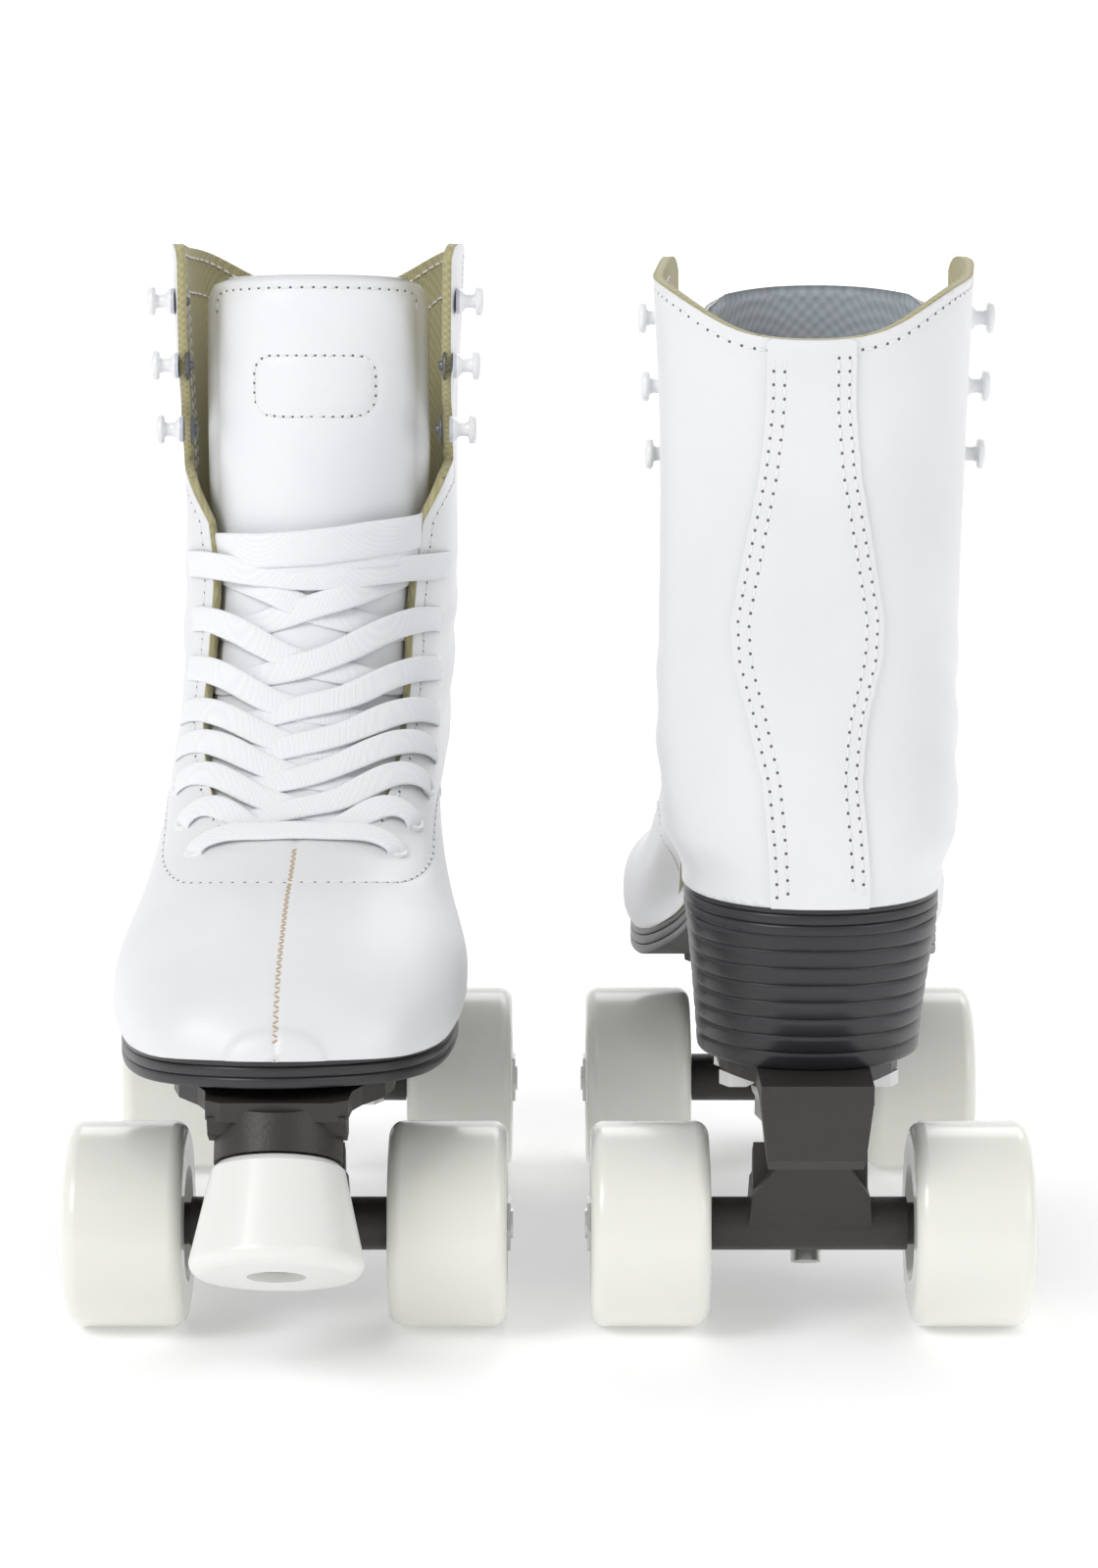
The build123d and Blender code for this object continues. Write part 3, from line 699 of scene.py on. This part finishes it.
def stitch(bag, start, end, up, thick=0.34, sink=0.12, mat=0, arch=0.9):
    """One short length of thread lying on a surface, its ends drawn into the needle holes."""
    run = end - start
    reach = np.linalg.norm(run) / 2
    run = run / max(2 * reach, 1e-6)
    side = unit(np.cross(run, up))
    verts, faces = [], []
    for t, r in ((-1, 0.35), (-0.8, 0.85), (-0.35, 1.0), (0.35, 1.0), (0.8, 0.85), (1, 0.35)):
        lift = thick * (0.55 - arch * t * t) - sink
        for k in range(6):
            w = math.pi / 3 * k
            flat = run * reach * t + side * thick * 1.15 * r * math.cos(w)
            verts.append((start + end) / 2 + flat + up * (lift + thick * r * math.sin(w)))
    for ring in range(5):
        for k in range(6):
            l = (k + 1) % 6
            faces.append((ring * 6 + k, ring * 6 + 6 + k, ring * 6 + 6 + l, ring * 6 + l))
    faces += [tuple(range(6)), tuple(range(35, 29, -1))]
    bag.add(verts, faces, mat)


def stitches(bag, line, normals, pitch=3.3, gap=0.8, thread=0, painted_hole_shade=1, **kw):
    """A row of stitches along a line on a surface, with a small dark disc of painted shade for the needle
    hole between each two.
    """
    count = max(2, int(round(length_of(line) / pitch)))
    both = even(np.hstack([line, normals]), count * 2 + 1)
    p, q = both[:, :3], unit(both[:, 3:])
    for s in range(count):
        a, b, up = p[2 * s], p[2 * s + 2], q[2 * s + 1]
        pull = unit(b - a) * gap / 2
        middle = p[2 * s + 1] - (a + b) / 2
        stitch(bag, a + pull + middle * 0.5, b - pull + middle * 0.5, up, mat=thread, **kw)
        # a small dark disc at each needle hole: painted shade standing in for the hole
        side = unit(np.cross(b - a, up))
        ring = [a + q[2 * s] * 0.03 + 0.43 * (math.cos(w) * unit(b - a) + math.sin(w) * side)
                for w in np.linspace(0, 2 * math.pi, 8)[:-1]]
        bag.add([a + q[2 * s] * 0.14, *ring], [(0, 1 + k, 1 + (k + 1) % 7) for k in range(7)], painted_hole_shade)


def ribbon(bag, path, normals, width, thick, mat=0, sway=0.0, seed=0.0):
    """A flat woven lace with rounded edges, swept along a path."""
    p = np.asarray(path, float)
    t = unit(np.gradient(p, axis=0))
    w = unit(np.cross(t, normals))
    n = unit(np.cross(w, t))
    verts, faces, ring = [], [], 12
    for i in range(len(p)):
        tilt = sway * noise.noise(Vector(p[i]) * 0.05 + Vector((seed, 0, 0)))
        across = w[i] * math.cos(tilt) + n[i] * math.sin(tilt)
        up = n[i] * math.cos(tilt) - w[i] * math.sin(tilt)
        wide = width * (1 + 0.06 * noise.noise(Vector(p[i]) * 0.09 + Vector((0, seed, 0)))) / 2
        for k in range(ring):
            a = 2 * math.pi * k / ring + math.pi / 12
            c, s = math.cos(a), math.sin(a)
            flat = math.copysign(abs(c) ** 0.45, c) * wide
            cup = 0.10 * thick * (flat / wide) ** 2
            verts.append(p[i] + across * flat + up * (math.copysign(abs(s) ** 0.7, s) * thick / 2 - cup))
    for i in range(len(p) - 1):
        for k in range(ring):
            l = (k + 1) % ring
            faces.append((i * ring + k, i * ring + l, i * ring + ring + l, i * ring + ring + k))
    faces += [tuple(range(ring - 1, -1, -1)), tuple(range((len(p) - 1) * ring, len(p) * ring))]
    bag.add(verts, faces, mat)


def lay(bag, stops, width, thick, side, steps=56, **kw):
    """A lace over the front of the boot, through stops given as (x, z, lift)."""
    run = smooth_line(stops, steps)
    spots = [spot(min(max(x, -37.4), 37.4), z, lift) for x, z, lift in run]
    ribbon(bag, lean([s[0] for s in spots], side), np.array([s[1] for s in spots]), width, thick, **kw)


ALONG, ACROSS = ((330, 112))
for side in SIDES:
    rng = 3.0 if side == "left" else 17.0
    grid = shell_grid(SECTIONS, 0, ACROSS, ALONG)
    n_rows, n_cols = grid.shape[:2]
    normals = grid_normals(grid)
    if np.einsum("k,k", normals[n_rows // 2, n_cols // 4], (1, 0, 0)) < 0:
        normals = -normals
    x, y, z = grid[..., 0], grid[..., 1], grid[..., 2]

    # where the shell is cut: sole, top line, open front of the shaft, throat
    under = sole_at(y) - 1.2 - z
    top = line_gap(y, z, TOP_LINE)
    front = y - np.interp(z, [150, 204, 210, 222, 240, 262, 300], [90, 66, 60, 56.5, 55.5, 54.5, 54.5])
    corner = np.hypot(np.maximum(y - 46.5, 0), np.maximum(z - 270, 0)) - 8.0
    edge_x = np.interp(z, [*FACING[:, 1], 208, 216, 300], [*FACING[:, 0], 35, 38.6, 38.6])
    throat = np.minimum(np.minimum(edge_x - np.abs(x), z - 123.5 - 0.6 * (x / 17) ** 2),
                        np.minimum(y - 30, 121.5 - y))
    openness = np.maximum(np.maximum(top, np.where(z > 204, front, -30.0)), throat)
    openness = np.maximum(openness, np.where((y > 46.5) & (z > 270), corner, -30.0))

    # shallow wrinkles, and leather drawn in along the seams
    seen = 337 - (337 - z) * 1120 / (1251 - y)
    inner = np.maximum(np.abs(x) - 27.5, 0), np.maximum(123.0 - seen, 0)
    vamp_line = np.where(seen < 123.0, np.hypot(*inner) - 10.0,
                         np.abs(x) - 37.5 - 1.5 * smoothstep(123, 150, seen))
    vamp_line = np.where((np.abs(x) <= 27.5) & (seen < 123.0), 113.0 - seen, vamp_line)
    vamp_line = np.where(y < 40, 30.0, vamp_line)
    stay_half = np.interp(z, [100, 150, 166, 180, 190, 208, 228, 245, 300],
                          [12.5, 12.5, 15, 18.5, 19, 16, 12.5, 11, 11])
    stay_gap = np.where(y < 0, np.abs(x) - stay_half, 30.0)
    dent = np.zeros_like(x)
    for gap, deep, wide in ((openness + 3.0, 0.28, 1.1), (vamp_line, 0.3, 1.3), (stay_gap + 1.6, 0.22, 0.9),
                            (stay_gap + 4.2, 0.22, 0.9)):
        dent -= deep * np.exp(-((gap / wide) ** 2))
    dent -= np.where((y > 118) & (z > 84), 0.45 * np.exp(-((x / 1.0) ** 2)), 0)
    wave = np.array([[noise.noise(Vector(p) * 0.016 + Vector((rng, 0, 0))) for p in row]
                     for row in grid[::2, ::2]])
    wave = np.repeat(np.repeat(wave, 2, 0), 2, 1)[:n_rows, :n_cols]
    ankle = np.exp(-(((y - 20) / 34) ** 2 + ((z - 158) / 24) ** 2))
    folds = np.sin((z * 0.9 + y * 0.35 + 9 * wave) * 0.36) * ankle * 0.55
    for _ in range(3):
        wave[1:-1, 1:-1] = (wave[:-2, 1:-1] + wave[2:, 1:-1] + wave[1:-1, :-2] + wave[1:-1, 2:]) / 4
    dent += wave * 1.1 * smoothstep(84, 96, z) + folds
    shape = grid + normals * dent[..., None]
    shape = tuck(lean(shape, side))

    # the shell as one piece: upper with the back stay raised on it
    index = np.arange(n_rows * n_cols).reshape(n_rows, n_cols)
    quads = [(index[i, j], index[i, (j + 1) % n_cols], index[i + 1, (j + 1) % n_cols], index[i + 1, j])
             for i in range(n_rows - 1) for j in range(n_cols)]
    cut = np.maximum(openness, under)
    verts, faces = clip_grid(shape.reshape(-1, 3), quads, cut.ravel())
    quad = shape[n_rows // 2 : n_rows // 2 + 2, n_cols // 4 : n_cols // 4 + 2]
    flip = np.dot(np.cross(quad[0, 1] - quad[0, 0], quad[1, 0] - quad[0, 0]),
                  normals[n_rows // 2, n_cols // 4])
    if flip < 0:
        faces = [tuple(reversed(f)) for f in faces]
    upper = build("upper", side, verts, faces, [M["boot"], M["lining"]], "boot", "boot_leather")
    solid = upper.modifiers.new("wall", "SOLIDIFY")
    solid.thickness, solid.offset, solid.material_offset, solid.material_offset_rim = 0.0026, -1.0, 1, 1
    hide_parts(f"{side}_upper_outer_side", f"{side}_upper_inner_side")

    layers = sole_form()
    sole = build("sole_and_heel", side, layers.v, layers.f, [M["sole"]], "boot", "sole_black", sharp=50)
    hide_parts(f"{side}_sole_unit")

    stay_cut = np.maximum(np.maximum(stay_gap, openness + 0.2), under)
    verts, faces = clip_grid((shape + normals * 0.15).reshape(-1, 3), quads, stay_cut.ravel())
    if flip < 0:
        faces = [tuple(reversed(f)) for f in faces]
    stay = build("backstay_strip", side, verts, faces, [M["boot"]], "boot", "boot_leather")
    solid = stay.modifiers.new("thickness", "SOLIDIFY")
    solid.thickness, solid.offset = 0.0009, 1.0
    edge = stay.modifiers.new("edge", "BEVEL")
    edge.width, edge.segments, edge.limit_method = 0.0003, 2, "ANGLE"
    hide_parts(f"{side}_backstay")

    # stitching
    sewing = Bag()
    above_sole = lambda p: p[:, 2] > sole_at(p[:, 1]) + 1.5
    for gap in (stay_gap + 1.7, stay_gap + 4.4):
        for p, q in isolines(shape, normals, gap, keep=lambda p: (above_sole(p)) & (p[:, 2] < 257.5) & (p[:,
                1] < 5)):
            stitches(sewing, p + q * 1.05, q, pitch=3.4)
    for p, q in isolines(shape, normals, openness + 3.0, keep=lambda p: (p[:, 1] < 119.5) & (p[:, 2] > 121)):
        stitches(sewing, p, q, pitch=3.4)
    for p, q in isolines(shape, normals, vamp_line, keep=lambda p: (p[:, 1] > 42) & (p[:, 2] < 176) & (p[:,
            2] > 95)):
        stitches(sewing, p, q, pitch=3.6)
    for gap, low in ((openness + 3.0, 200), (openness + 13.0, 212)):
        for p, q in isolines(shape, normals, gap, keep=lambda p: (p[:, 1] < 60) & (p[:, 2] > low)):
            stitches(sewing, p - q * 2.75, -q, pitch=3.4, painted_hole_shade=2)
    for p, q in isolines(shape, normals, shape[..., 0] - lean(grid * 0 + (0, 0, 1) * grid, side)[..., 0],
                         keep=lambda p: (p[:, 1] > 122) & (p[:, 2] > 86)):
        spine = even(np.hstack([p, q]), int(length_of(p) / 1.5) + 1)
        ends = [(r[:3] + np.array((1.15 if k % 2 else -1.15, 0, 0)), unit(r[3:])) for k,
                r in enumerate(spine)]
        for (a, up), (b, _) in zip(ends[:-1], ends[1:]):
            stitch(sewing, a + up * 0.05, b + up * 0.05, up, thick=0.26, mat=3)
        for k in (-1, 1):
            stitches(sewing, p + np.array((k * 2.6, 0, 0)), q, pitch=2.6)
    sewing.make("boot_stitching", side, [M["thread"], M["painted_hole_shade"], M["tan"], M["tan"]], "boot", "lace_fabric")

    # ------------------------------------------------------------ tongue
    count_u, count_x = ((150, 81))
    span, at = row_curve(TONGUE_ROWS)
    tongue_rows = at(np.linspace(0, span[-1], 700))
    middle_line = front_profile(0, 5.6, tongue_rows)
    low_u, high_u = np.interp([100, 270], middle_line[:, 2], np.linspace(0, 1, 700))
    faces, layers = [], []
    stops = low_u + (high_u - low_u) * np.linspace(0, 1, count_u)
    rows_here = at(stops * span[-1])
    down = np.linalg.norm(np.diff(front_profile(0, 5.6, rows_here), axis=0), axis=1)
    down = np.r_[np.cumsum(down[::-1])[::-1], 0]
    half = (30.4 - np.where(down < 6, 6 - np.sqrt(np.maximum(36 - (6 - down) ** 2, 0)), 0)
            + 0.4 * np.sin(down / 17))
    across = np.linspace(-1, 1, count_x)
    base = np.array([[front_profile(a * h, 5.6, r[None])[0] for a in across]
                     for r, h in zip(rows_here, half)])
    du, dv = np.gradient(base, axis=0), np.gradient(base, axis=1)
    out = unit(np.cross(du, dv))
    out = np.where((out[..., 1:2] + 0.3 * out[..., 2:3]) < 0, -out, out)
    bx, bz = base[..., 0], base[..., 2]
    edge = np.minimum(half[:, None] - np.abs(bx), down[:, None])
    corner_x, corner_d = np.maximum(np.abs(bx) - 24.4, 0), np.maximum(6 - down[:, None], 0)
    edge = np.where((corner_x > 0) & (corner_d > 0), 6 - np.hypot(corner_x, corner_d), edge)
    thick = 0.3 + 1.5 * np.sqrt(1 - (1 - np.clip(edge / 2.4, 0, 1)) ** 2)
    puff = 0.9 * smoothstep(3.5, 9, edge) * smoothstep(196, 212, bz) - 0.5 * smoothstep(205, 190, bz)
    puff += (0.45 * np.exp(-(((edge - 1.6) / 1.3) ** 2)) - 0.5
             * np.exp(-(((edge - 3.6) / 0.7) ** 2))) * smoothstep(200, 210, bz)
    patch = np.hypot(np.maximum(np.abs(bx) - 10.6, 0), np.maximum(np.abs(bz - 239) - 3.4, 0)) - 4.0
    puff += (0.35 * smoothstep(1.0, -0.5, patch) - 0.35 * np.exp(-(((patch - 1.1) / 0.8) ** 2))
             - 0.25 * np.exp(-(((patch + 1.0) / 0.6) ** 2)))
    puff += np.array([[0.9 * noise.noise(Vector(p) * 0.03 + Vector((rng, 5, 0))) for p in row]
                      for row in base]) * smoothstep(1, 8, edge)
    for face_side in (1, -1):
        lift = thick + np.where(face_side > 0, puff, 0.25 * puff)
        layers.append(base + out * (face_side * lift)[..., None])
    front_face = lean(layers[0], side)
    verts = np.vstack([front_face.reshape(-1, 3), lean(layers[1], side).reshape(-1, 3)])
    grid_id = np.arange(count_u * count_x).reshape(count_u, count_x)
    back_id = grid_id + count_u * count_x
    mats_here = []
    for i in range(count_u - 1):
        for j in range(count_x - 1):
            faces.append((grid_id[i, j], grid_id[i, j + 1], grid_id[i + 1, j + 1], grid_id[i + 1, j]))
            faces.append((back_id[i, j], back_id[i + 1, j], back_id[i + 1, j + 1], back_id[i, j + 1]))
            mats_here += [0, 1]
    ring = [*[(i, 0) for i in range(count_u)], *[(count_u - 1, j) for j in range(1, count_x)],
            *[(i, count_x - 1) for i in range(count_u - 2, -1, -1)], *[(0, j)
                    for j in range(count_x - 2, 0, -1)]]
    for a, b in zip(ring, ring[1:] + ring[:1]):
        faces.append((grid_id[a], back_id[a], back_id[b], grid_id[b]))
        mats_here.append(0)
    bm_turn = np.dot(np.cross(front_face[5, 6] - front_face[5, 5], front_face[6, 5] - front_face[5, 5]),
                     out[5, 5])
    if bm_turn < 0:
        faces = [tuple(reversed(f)) for f in faces]
    tongue = build("tongue_pad", side, verts, faces, [M["tongue"], M["felt"]], "boot", "tongue_leather",
                   face_mats=mats_here)
    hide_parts(f"{side}_tongue")
    sewing = Bag()
    turned = np.gradient(front_face, axis=0), np.gradient(front_face, axis=1)
    face_out = unit(np.cross(*turned))
    face_out = np.where(np.sum(face_out * out, -1, keepdims=True) < 0, -face_out, face_out)
    for gap, pitch, keep in ((edge - 3.6, 3.2, lambda p: p[:, 2] > 258), (patch - 1.1, 2.6, None)):
        for p, q in isolines(front_face, face_out, gap, wrap=False, keep=keep):
            stitches(sewing, p, q, pitch=pitch)
    sewing.make("tongue_stitching", side, [M["thread"], M["painted_hole_shade"]], "boot", "lace_fabric")

    # ------------------------------------------------------------ lace
    bag = Bag()
    turn = random.Random(5 if side == "left" else 9)
    for level in range(1, 8):
        (hx, hz), (lx, lz) = EYELETS[level], EYELETS[level - 1]
        rise = (4.2, 4.2, 4.2, 4.0, 3.4, 2.4, 1.6, 0.8)[level]
        low_rise = (1.5, 4.2, 4.2, 4.0, 3.4, 2.4, 1.6)[level - 1]
        for way, floor_lift in ((-1, -2.9), (1, -1.8)):
            j = lambda: turn.uniform(-0.5, 0.5)
            if level < 7:
                stops = [(way * (hx + 0.9), hz - 1.4, -2.4), (way * (hx + 0.2), hz - 0.6, 0.2),
                         (way * (hx - 2.6), hz + 0.5 * rise, 1.1), (way * (hx - 8), hz + rise, 0.7)]
            else:
                stops = [(way * 33, hz - 1.0, -3.3), (way * 28, hz - 1.2, -3.2)]
            drop = (hz + rise) - (lz + low_rise * 0.4)
            stops += [(way * 14, hz + rise - 0.27 * drop + j(), floor_lift * 0.55),
                      (0, hz + rise - 0.55 * drop + j(), floor_lift),
                      (-way * 15, lz + low_rise * 0.4 + 0.2 * drop, -3.1),
                      (-way * 26, lz + low_rise * 0.4, -3.45), (-way * 33, lz + low_rise * 0.3, -3.5)]
            lay(bag, stops, 7.4, 0.95, side, sway=0.10, seed=level * 3.1 + way)
    ex, ez = EYELETS[0]
    lay(bag, [(-ex - 1.0, ez - 1.6, -2.4), (-ex - 0.3, ez - 0.6, 0.2), (-ex + 3, ez + 1.6, 1.2),
              (-10, ez + 4.6, 0.9), (0, ez + 5.0, 0.8), (10, ez + 4.6, 0.9),
              (ex - 3, ez + 1.6, 1.2), (ex + 0.3, ez - 0.6, 0.2), (ex + 1.0, ez - 1.6, -2.4)],
        7.2, 0.95, side, sway=0.08, seed=1.7)
    ex, ez = EYELETS[7]
    lay(bag, [(-37.2, ez - 1.5, -1.5), (-36.6, ez - 0.5, 0.5), (-34, ez + 0.5, 1.2), (-28, ez + 1, 0.9),
              (-12, ez + 0.6, -0.9), (0, ez + 0.2, -1.1), (12, ez + 0.6, -0.6), (28, ez + 0.6, 1.3),
              (34, ez, 1.4), (36.8, ez - 0.6, 0.6), (37.3, ez - 1.6, -1.2)],
        7.6, 0.95, side, sway=0.12, seed=4.4)
    lay(bag, [(-33, 191, -3.3), (-28, 192, -1.8), (-18, 193.4, 0.1), (0, 195, 0.6), (18, 197, 0.9),
              (27, 197.6, 0.3), (33, 197, -3.2)], 10.2, 1.1, side, sway=0.2, seed=7.7)
    lay(bag, [(-33, 188, -3.3), (-27, 190, -2.4), (-14, 191.5, -1.0), (0, 192.6, -0.6), (14, 193, -0.4),
              (27, 192.5, -0.5), (33, 191.5, -3.2)], 8.4, 1.1, side, sway=0.3, seed=2.2)
    lace = bag.make("lace_woven", side, [M["lace"]], "boot", "lace_fabric")
    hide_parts(f"{side}_lace")
    tab = Bag()
    lay(tab, [(-5.8, 120.2, -2.6), (-5.2, 120.2, -1.6), (0, 120.4, -1.3), (5.2, 120.2, -1.6),
              (5.8, 120.2, -2.6)], 5.0, 1.3, side, steps=16)
    tab.make("throat_tab", side, [M["tongue"]], "boot", "tongue_leather")

    # ------------------------------------------------------------ eyelets, hooks and footbed
    bag = Bag()
    for ex, ez in EYELETS:
        for way in (-1, 1):
            centre, normal = spot(way * ex, ez)
            v, f = lathe([(1.8, -0.6), (1.8, 0.25), (2.05, 0.5), (2.6, 0.52), (3.1, 0.3), (3.3, -0.1),
                          (3.3, -0.6)], centre, normal, 24)
            bag.add(lean(v, side), f)
    rings = bag.make("eyelet_rings", side, [M["enamel"]], "boot", "white_enamel")
    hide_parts(f"{side}_eyelets")
    bag = Bag()
    for hz in (226, 244, 262):
        row = ROWS_FINE[np.argmin(np.abs(ROWS_FINE[:, 1] + (ROWS_FINE[:, 3] - ROWS_FINE[:, 1]) * 0.6 - hz)
                                  + (ROWS_FINE[:, 1] < 110) * 1e3)]
        line = half_section(row, 0, 60)
        front_half = line[np.argmax(line[:, 0]) :]
        hx = float(np.interp(45, front_half[:, 1], front_half[:, 0]))
        for way in (-1, 1):
            root = np.array((way * hx, 45, hz))
            v, f = lathe([(0, 7.4), (2.2, 7.4), (3.7, 7.1), (4.2, 6.4), (4.2, 5.7), (3.6, 5.2), (2.2, 5.0),
                          (1.9, 4.2), (2.0, 2.4), (3.2, 1.4), (3.6, 0.7), (3.6, -0.2)], root, (way, 0, 0), 28)
            bag.add(lean(v, side), f, 0)
            v, f = lathe([(3.65, -0.3), (3.7, 0.55), (3.3, 0.95), (2.4, 1.05)], root, (way, 0, 0), 28)
            bag.add(lean(v, side), f, 1)
            v, f = lathe([(0, 4.5), (0.9, 4.5), (1.3, 4.1), (1.5, 3.3), (3.0, 3.35), (4.0, 3.1), (4.3, 2.7),
                          (4.3, 2.5)], root, (-way, 0, 0), 28)
            bag.add(lean(v, side), f, 2)
    hooks = bag.make("speed_hooks", side, [M["enamel"], M["hooksteel"], M["rivet"]], "boot", "white_enamel",
                     sharp=50)
    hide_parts(f"{side}_lace_hooks")
    bag = Bag()
    stations = np.linspace(0.02, 0.64, 70)
    all_rows = row_curve(SECTIONS)[1](stations * row_curve(SECTIONS)[0][-1])
    verts, faces, wide_n = [], [], 25
    for row in all_rows:
        line = half_section(row, 3.4, 80)
        floor_z = max(sole_at(row[0]) + 2.2, line[0, 2] + 0.4)
        side_line = line[: np.argmax(line[:, 0]) + 1]
        reach_here = float(np.interp(floor_z, side_line[:, 2], side_line[:, 0])) - 0.4
        y_here = float(np.interp(floor_z, side_line[:, 2], side_line[:, 1]))
        for k in np.linspace(-1, 1, wide_n):
            dip = 1.4 * abs(k) ** 3
            verts.append((k * reach_here, y_here, floor_z + dip - 0.25 * (abs(k) > 0.98)))
    for i in range(len(all_rows) - 1):
        for k in range(wide_n - 1):
            a = i * wide_n + k
            faces.append((a, a + wide_n, a + wide_n + 1, a + 1))
    footbed = build("footbed", side, verts, faces, [M["insole"]], "boot", "insole_fabric")
    pad = footbed.modifiers.new("thickness", "SOLIDIFY")
    pad.thickness, pad.offset = 0.0015, -1.0
    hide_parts(f"{side}_insole")
